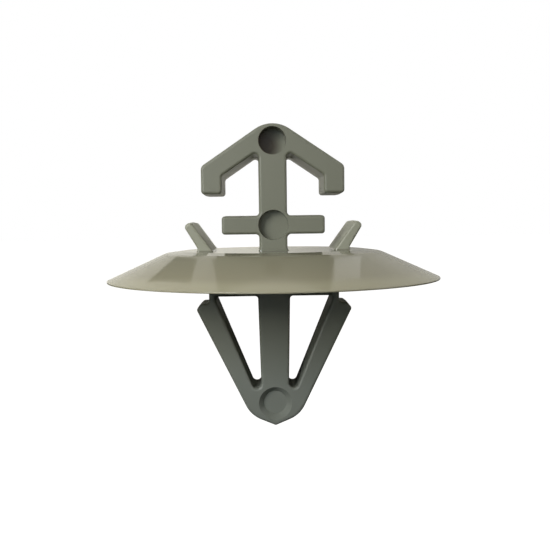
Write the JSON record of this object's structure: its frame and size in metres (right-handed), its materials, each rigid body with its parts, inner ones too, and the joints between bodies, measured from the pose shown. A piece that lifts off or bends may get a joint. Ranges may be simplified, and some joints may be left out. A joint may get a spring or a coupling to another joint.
{
  "type": "car trim clip",
  "caption": "Push-in plastic clip with an arrow-shaped rail head, sprung ears, a round umbrella seal and a V-shaped snap foot.",
  "frame": {"origin": "centre of the circle on which the seal's rim meets the panel, in the middle of the panel hole", "axes": "+Z along the stem towards the arrow head, -Z into the panel hole, X across the two arms, -Y is the front face with the round marks"},
  "size_m": [0.025, 0.025, 0.0225],
  "materials": {
    "moulded_plastic": "satin moulded grey with a slight green tint"
  },
  "bodies": {
    "root": {"trim_clip": "moulded_plastic"}
  },
  "joints": []
}
